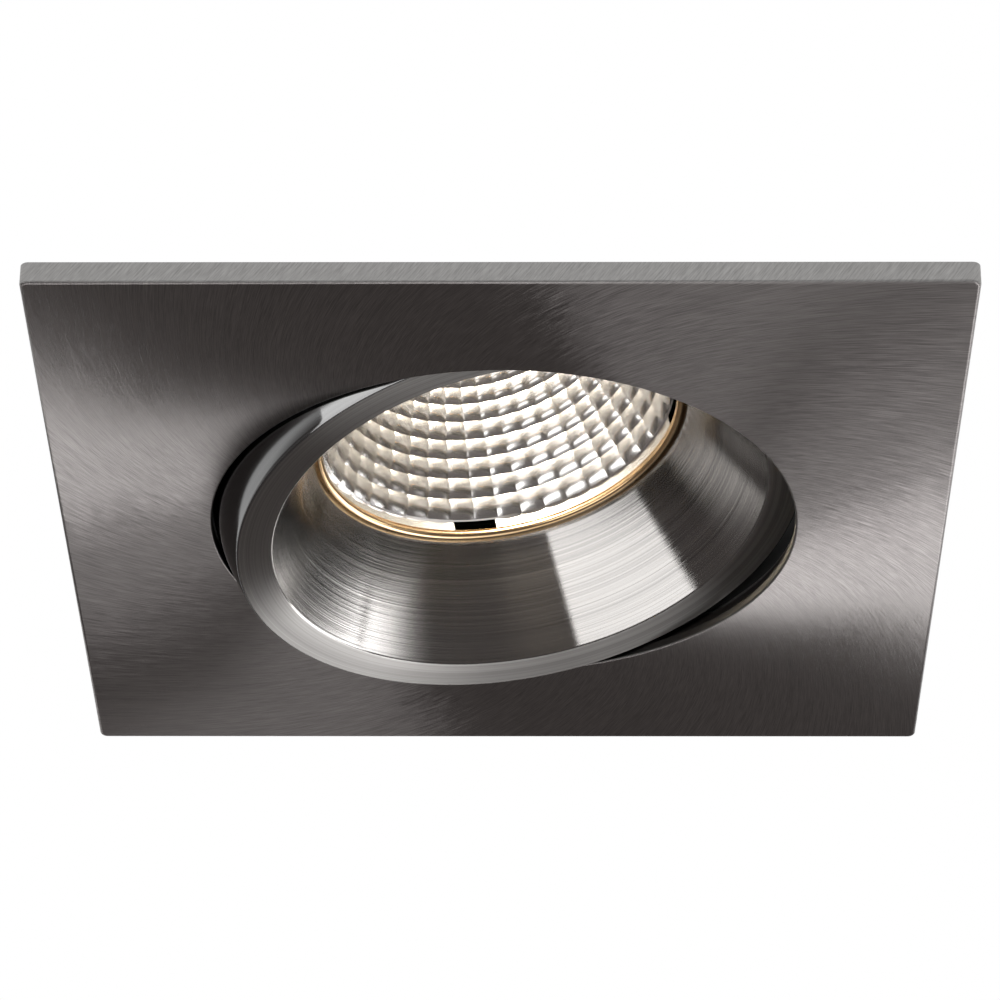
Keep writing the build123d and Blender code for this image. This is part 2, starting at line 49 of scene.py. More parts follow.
# The head's own axes: its tilt axis is Y, and Z runs up its middle through the cable inlet
record = frame["record"]
tilt_joint = next(j for j in record["behaviour"]["joints"] if j["name"] == "head_tilt")
inlet = next(m for m in record["mounts"] if m["name"] == "cable_inlet")
pivot = Vector(tilt_joint["pos_m"])
head_z = Vector(inlet["axis"]).normalized()
head_y = Vector(tilt_joint["axis"]).normalized()
head_x = head_y.cross(head_z)
head = Matrix.Translation(pivot) @ Matrix((head_x, head_y, head_z)).transposed().to_4x4()

# Sizes of the head about its pivot, in millimetres, as in the solids
BALL_R = 30.3
BALL_WALL = 2.0
BALL_TOP_Z = 5.0
RIM_Z = -9.83
RIM_R = math.sqrt(BALL_R**2 - RIM_Z**2)
MOUTH_Z = -9.63
MOUTH_R = RIM_R - 3.5
BEVEL = 0.15
FLOOR_Z = RIM_Z + 2.4
CONE_TOP_Z = 1.57
CONE_TOP_R = 19.1
CONE_WALL = 1.85
LIP_ROUND = 0.35
LEDGE_Z = 2.57
CAN_INNER_R = 20.2
CAN_R = 21.8
SINK_Z = 24.92
TILT_BOSS_R = 3.4
BAND_Z = 1.82
BOWL_Z = 3.92
BOWL_DEPTH = 19.0
REFLECTOR_R = 18.2
REFLECTOR_WALL = 0.6
NECK_R = 7.4
FLANGE_R = 19.9
FLANGE_THICKNESS = 1.0
FACET_COLUMNS = 45
FACET_ROWS = 12
ROW_TAPER = 0.35
SLOT_COUNT = 4
SLOT_ANGLE = 30.0
SLOT_WIDTH = 4.3
SLOT_LOW_Z = 2.72
SLOT_HIGH_Z = 3.82
SLOT_BACK_R = 19.4
EMITTER_R = 5.5
EMITTER_Z = 23.12
BOARD_Z = 23.62

# Fine relief that the solids don't have, in millimetres; the facets' swelling is a share of their size
BEAD_R = 0.42
BAND_GROOVE = 0.15
DOME_GAP = 0.02
DOME_SAG = 0.16
DAM_WIDTH = 0.9
DAM_HEIGHT = 0.2
COLUMN_SWELL = 0.07
ROW_SWELL = 0.105

# Steps of the meshes: across a facet, round a piece, along a curve, and degrees along a small arc
PILLOW_STEPS = 8
ROUND_STEPS = FACET_COLUMNS * PILLOW_STEPS
BOSS_STEPS = 64
EMITTER_STEPS = 96
DOME_STEPS = 8
BACK_STEPS = 20
ARC_STEP = 15

# The plate's brush strokes: where they start, how far they lean off the radius, and their grain
STROKE_START_R = 30.0
STROKE_SLOPE = 0.62
STROKE_BEND = 0.825
STROKE_BEND_END = 0.34
STROKE_STRETCH = 0.04
STROKE_SCATTER = 0.12
STROKE_GRAIN = 480.0
STROKE_BANDS = 60.0
PLATE_DARK = (0.25, 0.236, 0.232, 1)
PLATE_LIGHT = (0.43, 0.404, 0.397, 1)
# Radius inside which the wall of the hole is coloured near black as painted shade
HOLE_WALL_R = 29.5

# The head's turned lines: how close they lie and how long they run; a rougher ring and a smoother ball
TURNED_PITCH = 4.2
TURNED_RUN = 0.25
TURNED_BANDS = 0.23
RING_ROUGHER = 0.19
BALL_SMOOTHER = 0.45

# The LED's light, and the LED's warm glow painted as the colour of the reflector's rim
LED_COLOUR = (1.0, 0.83, 0.66, 1)
LED_STRENGTH = 260.0
RIM_GLOW_DARK = (0.66, 0.46, 0.26, 1)
RIM_GLOW_LIGHT = (0.74, 0.54, 0.32, 1)

# Stage: sheets in millimetres, surroundings above and below the horizon, lamps in metres
FLOOR_SHEET_Z = -2.3
FLOOR_HOLE_R = 44.05 * math.sqrt(2)
FLOOR_REACH = 8000.0
CEILING_Z = 0.02
CEILING_HOLE_R = 38.2
CEILING_REACH = 6000.0
CEILING_STEPS = 96
COLOUR_BELOW = (0.118, 0.107, 0.104, 1)
COLOUR_ABOVE = (0.72, 0.72, 0.72, 1)
HORIZON_LOW, HORIZON_HIGH = -0.05, -0.005
LAMP_DISTANCE = 1.4

# Camera: place in metres, lens in millimetres, angles in degrees
CAMERA_PLACE = (0.004433, -0.382034, -0.229876)
CAMERA_LENS = 160.58
CAMERA_ANGLES = (31.16, 0.725, 0.375)


# Mesh helpers

def polar(radius, angle, z):
    """Point in metres, from a radius and height in millimetres and an angle in degrees."""
    a = math.radians(angle)
    return Vector((radius * math.cos(a), radius * math.sin(a), z)) * MM


def lathe(bm, outline, steps, closed=True, sharp=25.0, place=Matrix()):
    """Surface of revolution about Z from (radius, height) points; corners over `sharp` degrees stay crisp."""
    rings = []
    for radius, z in outline:
        if radius < 1e-6:
            rings.append([bm.verts.new(place @ Vector((0, 0, z * MM)))] * steps)
        else:
            rings.append([bm.verts.new(place @ polar(radius, 360 * i / steps, z)) for i in range(steps)])
    count = len(rings)
    for k in range(count if closed else count - 1):
        low, high = rings[k], rings[(k + 1) % count]
        for i in range(steps):
            j = (i + 1) % steps
            corners = []
            for vert in (low[i], low[j], high[j], high[i]):
                if vert not in corners:
                    corners.append(vert)
            bm.faces.new(corners).smooth = True
    for k in range(count):
        if not closed and k in (0, count - 1):
            continue
        before, here, after = (Vector(outline[(k + d) % count]) for d in (-1, 0, 1))
        if (here - before).angle(after - here) > math.radians(sharp) and here.x > 1e-6:
            for i in range(steps):
                edge = bm.edges.get((rings[k][i], rings[k][(i + 1) % steps]))
                if edge:
                    edge.smooth = False
    return rings


def half_round(middle_r, middle_z, across, along, first, last):
    """Outline points on half an ellipse, from one angle to another."""
    angles = [math.radians(a) for a in range(first, last + 1, ARC_STEP)]
    return [(middle_r - across * math.cos(a), middle_z - along * math.sin(a)) for a in angles]


def new_object(name, bm, material):
    """Object in the scene from a finished mesh."""
    mesh = bpy.data.meshes.new(name)
    bm.to_mesh(mesh)
    bm.free()
    obj = bpy.data.objects.new(name, mesh)
    scene.collection.objects.link(obj)
    mesh.materials.append(material)
    return obj


def piece(name, bm, material, body, slot, *nodes):
    """Finishes a mesh of the head, fastens it to its body and puts it in the place of the solids it shows."""
    bmesh.ops.recalc_face_normals(bm, faces=bm.faces)
    obj = new_object(name, bm, material)
    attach(obj, body)
    if nodes:
        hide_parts(*nodes)


# Material helpers

class Look:
    """A material's node tree, written as nested calls."""

    def __init__(self, name):
        self.material = bpy.data.materials.new(name)
        self.material.use_nodes = True
        self.tree = self.material.node_tree
        self.shader = self.tree.nodes["Principled BSDF"]
        self.output = self.tree.nodes["Material Output"]

    def node(self, kind, inputs=(), **settings):
        made = self.tree.nodes.new("ShaderNode" + kind)
        for key, value in settings.items():
            setattr(made, key, value)
        for key, value in dict(inputs).items():
            self.put(made.inputs[key], value)
        return made

    def put(self, socket, value):
        if isinstance(value, bpy.types.NodeSocket):
            self.tree.links.new(value, socket)
        else:
            socket.default_value = value

    def set(self, **values):
        for key, value in values.items():
            self.put(self.shader.inputs[key.replace("_", " ")], value)

    def math(self, operation, a, b=0.0):
        return self.node("Math", {0: a, 1: b}, operation=operation).outputs[0]

    def vector(self, operation, a, b=(0, 0, 0)):
        made = self.node("VectorMath", {0: a, 1: b}, operation=operation)
        return made.outputs["Value" if operation in ("LENGTH", "DOT_PRODUCT") else "Vector"]

    def join(self, x, y, z):
        return self.node("CombineXYZ", {"X": x, "Y": y, "Z": z}).outputs[0]

    def place(self):
        return self.node("TexCoord").outputs["Object"]

    def noise(self, vector, scale, detail=2.0, roughness=0.5):
        inputs = {"Vector": vector, "Scale": scale, "Detail": detail, "Roughness": roughness}
        return self.node("TexNoise", inputs).outputs[0]

    def ramp(self, value, low, high, to_low, to_high):
        inputs = {"Value": value, "From Min": low, "From Max": high, "To Min": to_low, "To Max": to_high}
        return self.node("MapRange", inputs, clamp=True).outputs[0]

    def blend(self, factor, a, b):
        made = self.node("Mix", data_type="RGBA")
        for index, value in ((0, factor), (6, a), (7, b)):
            self.put(made.inputs[index], value)
        return made.outputs[2]

    def bump(self, height, strength, distance):
        return self.node("Bump", {"Height": height, "Strength": strength, "Distance": distance}).outputs[0]

    def to_world(self, vector):
        settings = {"vector_type": "VECTOR", "convert_from": "OBJECT", "convert_to": "WORLD"}
        return self.node("VectorTransform", {"Vector": vector}, **settings).outputs[0]


def grey(level, warmth=0.0):
    """Linear colour of a neutral metal, warmer or cooler."""
    return (level * (1 + warmth), level, level * (1 - warmth), 1.0)


def head_space(look):
    """Offset from the head's pivot, its height along the head's axis, and its part across that axis."""
    offset = look.vector("SUBTRACT", look.place(), tuple(pivot))
    height = look.vector("DOT_PRODUCT", offset, tuple(head_z))
    along = look.node("VectorMath", {0: tuple(head_z), 3: height}, operation="SCALE").outputs[0]
    return offset, height, look.vector("SUBTRACT", offset, along)


def swirl_nickel():
    """Plate: short brush strokes that leave the hole in a swirl."""
    look = Look("swirl_brushed_nickel")
    place = look.node("SeparateXYZ", {0: look.place()})
    x, y, z = place.outputs
    radius = look.math("SQRT", look.math("ADD", look.math("MULTIPLY", x, x), look.math("MULTIPLY", y, y)))
    # The strokes swing away from the radius: less beside the hole, more further out
    log_r = look.math("LOGARITHM", look.math("MULTIPLY", radius, 1 / (STROKE_START_R * MM)), math.e)
    bend = look.math("MINIMUM", log_r, STROKE_BEND_END)
    tangent = look.math("ADD", look.math("MULTIPLY", bend, STROKE_BEND), STROKE_SLOPE)
    later = look.math("SUBTRACT", log_r, look.math("MULTIPLY", bend, 0.5))
    grown = look.math("MULTIPLY", look.math("MULTIPLY", bend, later), STROKE_BEND)
    spin = look.math("ADD", look.math("MULTIPLY", log_r, STROKE_SLOPE), grown)
    turn = look.math("SUBTRACT", spin, look.math("ARCTAN2", y, x))
    outward = look.math("MULTIPLY", log_r, STROKE_STRETCH)
    strokes = look.join(look.math("COSINE", turn), look.math("SINE", turn), outward)
    fine = look.noise(strokes, STROKE_GRAIN, 2.0, 0.6)
    broad = look.noise(strokes, STROKE_BANDS, 2.0, 0.5)
    mixed = look.math("ADD", look.math("MULTIPLY", fine, 0.85), look.math("MULTIPLY", broad, 0.15))
    facing = look.node("SeparateXYZ", {0: look.node("TexCoord").outputs["Normal"]}).outputs[2]
    side = look.ramp(facing, -0.9, -0.4, 0.0, 1.0)
    # The four sides carry straight strokes that lean over
    lean = look.math("SUBTRACT", look.math("ADD", x, y), look.math("MULTIPLY", z, 0.7))
    grain = look.noise(look.join(lean, look.math("MULTIPLY", z, 0.12), 0.0), 5200.0, 2.0, 0.6)
    front = look.blend(look.ramp(mixed, 0.36, 0.64, 0.0, 1.0), PLATE_DARK, PLATE_LIGHT)
    edge = look.blend(look.ramp(grain, 0.3, 0.7, 0.0, 1.0), grey(0.28, 0.02), grey(0.41, 0.02))
    # Painted shade: the wall of the hole, which stays in shade, is coloured near black
    near = look.ramp(radius, (HOLE_WALL_R - 0.05) * MM, HOLE_WALL_R * MM, 1.0, 0.0)
    painted_hole_shade = look.math("MULTIPLY", side, near)
    outer = look.blend(side, front, edge)
    look.set(Base_Color=look.blend(painted_hole_shade, outer, grey(0.07, 0.05)), Metallic=1.0, Anisotropic=1.0)
    look.set(Roughness=look.ramp(mixed, 0.25, 0.75, 0.4, 0.46))
    scatter = look.ramp(fine, 0.25, 0.75, -STROKE_SCATTER, STROKE_SCATTER)
    square = look.math("ADD", look.math("ADD", look.math("ARCTANGENT", tangent), math.pi / 2), scatter)
    inputs = {"Vector": look.join(x, y, 0.0), "Angle": square}
    across = look.node("VectorRotate", inputs, rotation_type="Z_AXIS").outputs[0]
    look.set(Tangent=look.to_world(across), Normal=look.bump(mixed, 0.25, 0.00005))
    return look.material


def turned_nickel():
    """Head: fine lines round its axis on the cone and the front ring; the ball outside is polished."""
    look = Look("turned_nickel")
    offset, height, flat = head_space(look)
    radius = look.vector("LENGTH", flat)
    out = look.vector("NORMALIZE", flat)
    across = look.math("MULTIPLY", look.math("SUBTRACT", height, radius), 1 / MM)
    rings = look.join(
        look.math("MULTIPLY", across, TURNED_PITCH),
        look.math("MULTIPLY", look.vector("DOT_PRODUCT", out, tuple(head_x)), TURNED_RUN),
        look.math("MULTIPLY", look.vector("DOT_PRODUCT", out, tuple(head_y)), TURNED_RUN),
    )
    fine = look.noise(rings, 1.0, 3.0, 0.6)
    broad = look.noise(rings, TURNED_BANDS, 2.0, 0.5)
    mixed = look.math("ADD", look.math("MULTIPLY", fine, 0.7), look.math("MULTIPLY", broad, 0.3))
    ball = look.ramp(look.vector("LENGTH", offset), (BALL_R - 0.1) * MM, (BALL_R - 0.05) * MM, 0.0, 1.0)
    streak = look.ramp(mixed, 0.34, 0.66, 0.0, 1.0)
    ring = look.ramp(height, (MOUTH_Z + 0.02) * MM, (MOUTH_Z + 0.06) * MM, 1.0, 0.0)
    turned = look.blend(streak, grey(0.25, 0.03), grey(0.42, 0.03))
    polished = look.blend(look.ramp(mixed, 0.3, 0.7, 0.0, 1.0), grey(0.2, 0.0), grey(0.23, 0.0))
    look.set(Base_Color=look.blend(ball, turned, polished))
    look.set(Metallic=1.0, Anisotropic=1.0, Anisotropic_Rotation=0.25)
    rougher = look.math("MULTIPLY", ring, RING_ROUGHER)
    lathed = look.math("ADD", look.ramp(mixed, 0.3, 0.7, 0.11, 0.15), rougher)
    smooth = look.math("SUBTRACT", 1.0, ball)
    look.set(Roughness=look.math("MULTIPLY", lathed, look.ramp(ball, 0.0, 1.0, 1.0, BALL_SMOOTHER)))
    look.set(Tangent=look.to_world(look.vector("CROSS_PRODUCT", tuple(head_z), flat)))
    look.set(Normal=look.bump(look.math("MULTIPLY", mixed, smooth), 0.35, 0.00006))
    return look.material


def mirror_facets():
    """Reflector: bright metal film over moulded facets, the LED's warm glow painted on its rim, and painted
    shade inside the slots of its band.
    """
    look = Look("mirror_facets")
    _, height, flat = head_space(look)
    # Painted shade: the pocket behind each slot of the band is coloured near black
    low = look.ramp(height, BOWL_Z * MM, (BOWL_Z + 0.02) * MM, 1.0, 0.0)
    wall_r = REFLECTOR_R + 0.2
    behind = look.ramp(look.vector("LENGTH", flat), wall_r * MM, (wall_r + 0.1) * MM, 0.0, 1.0)
    high = look.ramp(height, (SLOT_LOW_Z - 0.03) * MM, SLOT_LOW_Z * MM, 0.0, 1.0)
    deep = look.math("MULTIPLY", look.math("MULTIPLY", low, behind), high)
    film = look.noise(look.place(), 700.0, 3.0)
    bright = look.blend(film, grey(0.82, 0.012), grey(0.9, 0.012))
    # Painted light: the LED's warm glow on the bead and the band's lower edge is painted into their colour
    rim_top = BAND_Z + 2 * BEAD_R
    rim = look.ramp(height, rim_top * MM, (rim_top + 0.1) * MM, 1.0, 0.0)
    bright = look.blend(rim, bright, look.blend(film, RIM_GLOW_DARK, RIM_GLOW_LIGHT))
    # The painted slot shade and the painted rim glow go into the colour here
    look.set(Base_Color=look.blend(deep, bright, grey(0.02)), Metallic=1.0)
    look.set(Roughness=look.ramp(film, 0.3, 0.7, 0.2, 0.23))
    return look.material


def moulded(name, low, high, roughness, scale=1800.0, bump=0.15, metallic=0.0, stretch=(1, 1, 1)):
    """Surface with a fine grain between two colours."""
    look = Look(name)
    spread = look.node("Mapping", {"Vector": look.place(), "Scale": stretch}).outputs[0]
    grain = look.noise(spread, scale, 4.0, 0.6)
    look.set(Base_Color=look.blend(look.ramp(grain, 0.3, 0.7, 0.0, 1.0), low, high), Metallic=metallic)
    look.set(Roughness=look.ramp(grain, 0.3, 0.7, roughness - 0.06, roughness + 0.06))
    look.set(Normal=look.bump(grain, bump, 0.00008))
    return look.material


def glowing(name, low, high, light, strength):
    """Lit phosphor, mottled."""
    look = Look(name)
    grain = look.noise(look.place(), 2600.0, 3.0)
    look.set(Base_Color=look.blend(grain, low, high), Roughness=0.45)
    brighter = tuple(min(1.0, c * 1.15) for c in light)
    look.set(Emission_Color=look.blend(grain, light, brighter), Emission_Strength=strength)
    return look.material


# Finish of each material slot, given to all the solids
plate_look = swirl_nickel()
head_look = turned_nickel()
facet_look = mirror_facets()
slot_looks = {
    "brushed_nickel": plate_look,
    "polished_nickel": head_look,
    "mirror_facets": facet_look,
    "black_plastic": moulded("black_plastic", grey(0.012), grey(0.026), 0.5),
    "slip_plastic": moulded("slip_plastic", (0.68, 0.66, 0.6, 1), (0.78, 0.76, 0.7, 1), 0.42),
    "phosphor": glowing("phosphor", (0.9, 0.66, 0.16, 1), (0.95, 0.74, 0.24, 1), LED_COLOUR, LED_STRENGTH),
    "white_board": moulded("white_board", grey(0.78), grey(0.85, 0.01), 0.35),
    "pad": moulded("thermal_pad", (0.4, 0.42, 0.46, 1), (0.48, 0.5, 0.53, 1), 0.7),
    "white_plastic": moulded("white_plastic", grey(0.74, 0.01), grey(0.82, 0.01), 0.45),
    "sink_metal": moulded("sink_metal", grey(0.42), grey(0.56), 0.36, 2400.0, 0.12, 1.0, (1, 0.04, 1)),
    "steel": moulded("zinc_steel", grey(0.46, 0.01), grey(0.58, 0.015), 0.3, 2600.0, 0.1, 1.0),
    "spring_steel": moulded("spring_steel", grey(0.36), grey(0.5), 0.28, 3000.0, 0.1, 1.0, (0.2, 1, 1)),
    "black_rubber": moulded("black_rubber", grey(0.014), grey(0.03), 0.75, 1500.0, 0.3),
}
for subpart in record["subparts"]:
    solid = frame["nodes"][subpart["node"]]
    solid.data.materials.clear()
    solid.data.materials.append(slot_looks[subpart["material_slot"]])


# Bezel: ball-shaped outside, front ring, cone and lamp can in one turned section

def sphere_points(radius, low, high, count):
    """Outline of a ball between two heights."""
    first, last = math.asin(low / radius), math.asin(high / radius)
    angles = [first + (last - first) * i / count for i in range(count + 1)]
    return [(radius * math.cos(a), radius * math.sin(a)) for a in angles]


def rounded(corner, before, after, radius, count):
    """Small arc in place of a corner of an outline."""
    corner, before, after = Vector(corner), Vector(before), Vector(after)
    start = corner + (before - corner).normalized() * radius
    stop = corner + (after - corner).normalized() * radius
    steps = [i / count for i in range(count + 1)]
    return [tuple(start * (1 - t) ** 2 + corner * 2 * t * (1 - t) + stop * t**2) for t in steps]


ball_inner_r = BALL_R - BALL_WALL
slope = (MOUTH_R - CONE_TOP_R) / (CONE_TOP_Z - MOUTH_Z)
floor_r = MOUTH_R - slope * (FLOOR_Z - MOUTH_Z) + CONE_WALL
shoulder_z = CONE_TOP_Z - (CAN_R - CONE_WALL - CONE_TOP_R) / slope
outside = sphere_points(BALL_R, RIM_Z + BEVEL, BALL_TOP_Z, 48)
inside = sphere_points(ball_inner_r, BALL_TOP_Z, FLOOR_Z, 24)
outline = outside + inside + [
    (floor_r, FLOOR_Z),
    (CAN_R, shoulder_z),
    (CAN_R, SINK_Z),
    (CAN_INNER_R, SINK_Z),
    (CAN_INNER_R, LEDGE_Z),
    (CONE_TOP_R, LEDGE_Z),
]
cone_top, mouth, rim = (CONE_TOP_R, CONE_TOP_Z), (MOUTH_R, MOUTH_Z), (RIM_R, RIM_Z)
outline += rounded(cone_top, (CONE_TOP_R, LEDGE_Z), mouth, LIP_ROUND, 6)
outline += rounded(mouth, cone_top, rim, 1.4 * BEVEL, 6)
outline += rounded(rim, mouth, outside[0], BEVEL, 4)[:-1]
bm = bmesh.new()
lathe(bm, outline, ROUND_STEPS, place=head)

# Two tilt bosses from the can to inside the ball's wall, flared at the ball
boss_foot = CAN_R + 0.06
boss = [
    (0, boss_foot),
    (TILT_BOSS_R, boss_foot),
    (TILT_BOSS_R, ball_inner_r - 0.5),
    (TILT_BOSS_R + 0.5, ball_inner_r + 0.3),
    (0, ball_inner_r + 0.3),
]
for turn in (-90, 90):
    lathe(bm, boss, BOSS_STEPS, closed=False, place=head @ Matrix.Rotation(math.radians(turn), 4, "X"))
piece("gimbal_bezel_turned", bm, head_look, "head", "polished_nickel", "gimbal_bezel")


# Reflector: pillow-shaped facets over a smooth slotted band with a beaded rim, in a thin shell

def bowl_radius(z):
    """Radius of the bowl at a height."""
    share = (z - BOWL_Z) / BOWL_DEPTH
    return math.sqrt(REFLECTOR_R**2 + (NECK_R**2 - REFLECTOR_R**2) * share)


def row_height(t):
    """Height of a row's edge; the rows grow shorter towards the neck."""
    return BOWL_Z + BOWL_DEPTH * t * (1 + ROW_TAPER * (1 - t))


bm = bmesh.new()
levels = FACET_ROWS * PILLOW_STEPS
grid = []
for v in range(levels + 1):
    z = row_height(v / levels)
    radius = bowl_radius(z)
    lean = (REFLECTOR_R**2 - NECK_R**2) / BOWL_DEPTH / (2 * radius)
    row = min(v // PILLOW_STEPS, FACET_ROWS - 1)
    width = 2 * math.pi * radius / FACET_COLUMNS
    tall = (row_height((row + 1) / FACET_ROWS) - row_height(row / FACET_ROWS)) * math.hypot(1, lean)
    run = 2 * ((v % PILLOW_STEPS) / PILLOW_STEPS) - 1
    ring = []
    for u in range(ROUND_STEPS):
        side = 2 * ((u % PILLOW_STEPS) / PILLOW_STEPS) - 1
        swell = COLUMN_SWELL * width * (1 - (side**2 + side**4) / 2)
        swell += ROW_SWELL * tall * (1 - run**2)
        inward = swell / math.hypot(1, lean)
        ring.append(bm.verts.new(head @ polar(radius - inward, 360 * u / ROUND_STEPS, z - inward * lean)))
    grid.append(ring)
for v in range(levels):
    for u in range(ROUND_STEPS):
        w = (u + 1) % ROUND_STEPS
        bm.faces.new((grid[v][u], grid[v][w], grid[v + 1][w], grid[v + 1][u])).smooth = True
for v in range(levels + 1):
    for u in range(ROUND_STEPS):
        w = (u + 1) % ROUND_STEPS
        if v % PILLOW_STEPS == 0:
            bm.edges.get((grid[v][u], grid[v][w])).smooth = False
        if u % PILLOW_STEPS == 0 and v < levels:
            bm.edges.get((grid[v][u], grid[v + 1][u])).smooth = False

# Band below the facets, one quad wide per step, open at the slots, with a round bead as its rim
mouth_r = REFLECTOR_R + REFLECTOR_WALL
groove_r = REFLECTOR_R + BAND_GROOVE
band = [(REFLECTOR_R, BOWL_Z), (groove_r, SLOT_HIGH_Z), (groove_r, SLOT_LOW_Z)]
band += half_round(REFLECTOR_R + BEAD_R, BAND_Z + BEAD_R, BEAD_R, BEAD_R, -90, 90)
band += [(mouth_r, BAND_Z), (mouth_r, LEDGE_Z)]
turns = [360 * i / ROUND_STEPS for i in range(ROUND_STEPS)]
rings = [[bm.verts.new(head @ polar(r, turn, z)) for turn in turns] for r, z in band]
half = math.degrees(SLOT_WIDTH / 2 / REFLECTOR_R)
slots = []
for k in range(SLOT_COUNT):
    middle = SLOT_ANGLE + 360 / SLOT_COUNT * k
    slots.append(tuple(round(turn * ROUND_STEPS / 360) for turn in (middle - half, middle + half)))
open_steps = {i for first, last in slots for i in range(first, last)}
for k in range(len(band) - 1):
    for i in range(ROUND_STEPS):
        j = (i + 1) % ROUND_STEPS
        if k != 1 or i not in open_steps:
            bm.faces.new((rings[k][i], rings[k][j], rings[k + 1][j], rings[k + 1][i])).smooth = k > 2
for first, last in slots:
    rims = []
    for i in range(first, last + 1):
        turn = 360 * i / ROUND_STEPS
        deep = [bm.verts.new(head @ polar(SLOT_BACK_R, turn, z)) for z in (SLOT_HIGH_Z, SLOT_LOW_Z)]
        rims.append((rings[1][i], deep[0], deep[1], rings[2][i]))
    for here, after in zip(rims, rims[1:]):
        for k in range(3):
            bm.faces.new((here[k], after[k], after[k + 1], here[k + 1]))
    bm.faces.new(rims[0])
    bm.faces.new(rims[-1])

# Back of the shell with its flange; the scalloped ends of the facets are joined to the band and to the neck
flange_z = LEDGE_Z + FLANGE_THICKNESS
back = [(mouth_r, LEDGE_Z), (FLANGE_R, LEDGE_Z), (FLANGE_R, flange_z), (mouth_r, flange_z)]
for i in range(BACK_STEPS + 1):
    z = BOWL_Z + BOWL_DEPTH * i / BACK_STEPS
    back.append((bowl_radius(z) + REFLECTOR_WALL, z))
back.append((NECK_R, BOWL_Z + BOWL_DEPTH))
shell = lathe(bm, back, ROUND_STEPS, closed=False, place=head)
for scalloped, circle in ((grid[0], rings[0]), (grid[-1], shell[-1])):
    for i in range(ROUND_STEPS):
        j = (i + 1) % ROUND_STEPS
        bm.faces.new((scalloped[i], scalloped[j], circle[j], circle[i]))
bmesh.ops.remove_doubles(bm, verts=bm.verts, dist=0.0005 * MM)
piece("reflector_faceted", bm, facet_look, "head", "mirror_facets", "reflector")

# Emitter: shallow dome of phosphor inside a raised white dam
dam_r = EMITTER_R - DAM_WIDTH
shares = [i / DOME_STEPS for i in range(DOME_STEPS + 1)]
dome = [(dam_r * share, EMITTER_Z + DOME_GAP + DOME_SAG * share**2) for share in shares]
bm = bmesh.new()
lathe(bm, dome + [(dam_r, BOARD_Z), (0, BOARD_Z)], EMITTER_STEPS, closed=False, place=head)
piece("emitter_dome", bm, slot_looks["phosphor"], "head", "phosphor", "led_emitter")
bm = bmesh.new()
arc = half_round(dam_r + DAM_WIDTH / 2, EMITTER_Z + DAM_HEIGHT, DAM_WIDTH / 2, DAM_HEIGHT, 0, 180)
lathe(bm, [(dam_r, BOARD_Z)] + arc + [(EMITTER_R, BOARD_Z)], EMITTER_STEPS, place=head)
piece("emitter_dam", bm, slot_looks["white_plastic"], "head", "white_plastic")


# Stage: a pale floor just below the plate that shows from above, and a white ceiling that shows from below

def sheet(name, corners, inner, outer, z, material):
    """Flat sheet with a hole; inner and outer are the distances of their corners."""
    bm = bmesh.new()
    turns = [360 * (i + 0.5) / corners for i in range(corners)]
    hole, edge = ([bm.verts.new(polar(radius, turn, z)) for turn in turns] for radius in (inner, outer))
    for i in range(corners):
        j = (i + 1) % corners
        bm.faces.new((hole[i], edge[i], edge[j], hole[j]))
    obj = new_object(name, bm, material)


def shown_rays(look):
    """One for rays that show the stage to the camera, directly or by way of metal or glass."""
    path = look.node("LightPath").outputs
    seen = look.math("MAXIMUM", path["Is Camera Ray"], path["Is Glossy Ray"])
    return look.math("MAXIMUM", seen, path["Is Transmission Ray"])


floor_look = Look("pale_floor")
mottle = floor_look.noise(floor_look.place(), 30.0, 3.0)
floor_look.set(Base_Color=floor_look.blend(mottle, grey(0.78), grey(0.82)), Roughness=0.9)
seen = shown_rays(floor_look)
shadow = floor_look.node("LightPath").outputs["Is Shadow Ray"]
below = floor_look.node("NewGeometry").outputs["Backfacing"]
clear = floor_look.node("BsdfTransparent").outputs[0]
dark = floor_look.node("BsdfDiffuse", {"Color": (0, 0, 0, 1)}).outputs[0]
upper = floor_look.node("MixShader", {0: shadow, 1: floor_look.shader.outputs[0], 2: clear}).outputs[0]
lower = floor_look.node("MixShader", {0: seen, 1: dark, 2: clear}).outputs[0]
both = floor_look.node("MixShader", {0: below, 1: upper, 2: lower}).outputs[0]
floor_look.put(floor_look.output.inputs["Surface"], both)
sheet("floor", 4, FLOOR_HOLE_R, FLOOR_REACH, FLOOR_SHEET_Z, floor_look.material)

ceiling_look = Look("white_ceiling")
seen = shown_rays(ceiling_look)
under = ceiling_look.node("NewGeometry").outputs["Backfacing"]
shown = ceiling_look.math("MULTIPLY", seen, under)
white = ceiling_look.node("Emission", {"Color": (1, 1, 1, 1), "Strength": 1.0}).outputs[0]
clear = ceiling_look.node("BsdfTransparent").outputs[0]
mix = ceiling_look.node("MixShader", {0: shown, 1: clear, 2: white}).outputs[0]
ceiling_look.put(ceiling_look.output.inputs["Surface"], mix)
sheet("ceiling", CEILING_STEPS, CEILING_HOLE_R, CEILING_REACH, CEILING_Z, ceiling_look.material)

# Surroundings: light above the ceiling, dim and warm below it
world = bpy.data.worlds.new("studio")
world.use_nodes = True
nodes, links = world.node_tree.nodes, world.node_tree.links
direction = nodes.new("ShaderNodeSeparateXYZ")
links.new(nodes.new("ShaderNodeTexCoord").outputs["Generated"], direction.inputs[0])
rise = nodes.new("ShaderNodeMapRange")
rise.inputs["From Min"].default_value = HORIZON_LOW
rise.inputs["From Max"].default_value = HORIZON_HIGH
links.new(direction.outputs["Z"], rise.inputs["Value"])
sky = nodes.new("ShaderNodeMix")
sky.data_type = "RGBA"
sky.inputs[6].default_value = COLOUR_BELOW
sky.inputs[7].default_value = COLOUR_ABOVE
links.new(rise.outputs[0], sky.inputs[0])
links.new(sky.outputs[2], nodes["Background"].inputs["Color"])
scene.world = world


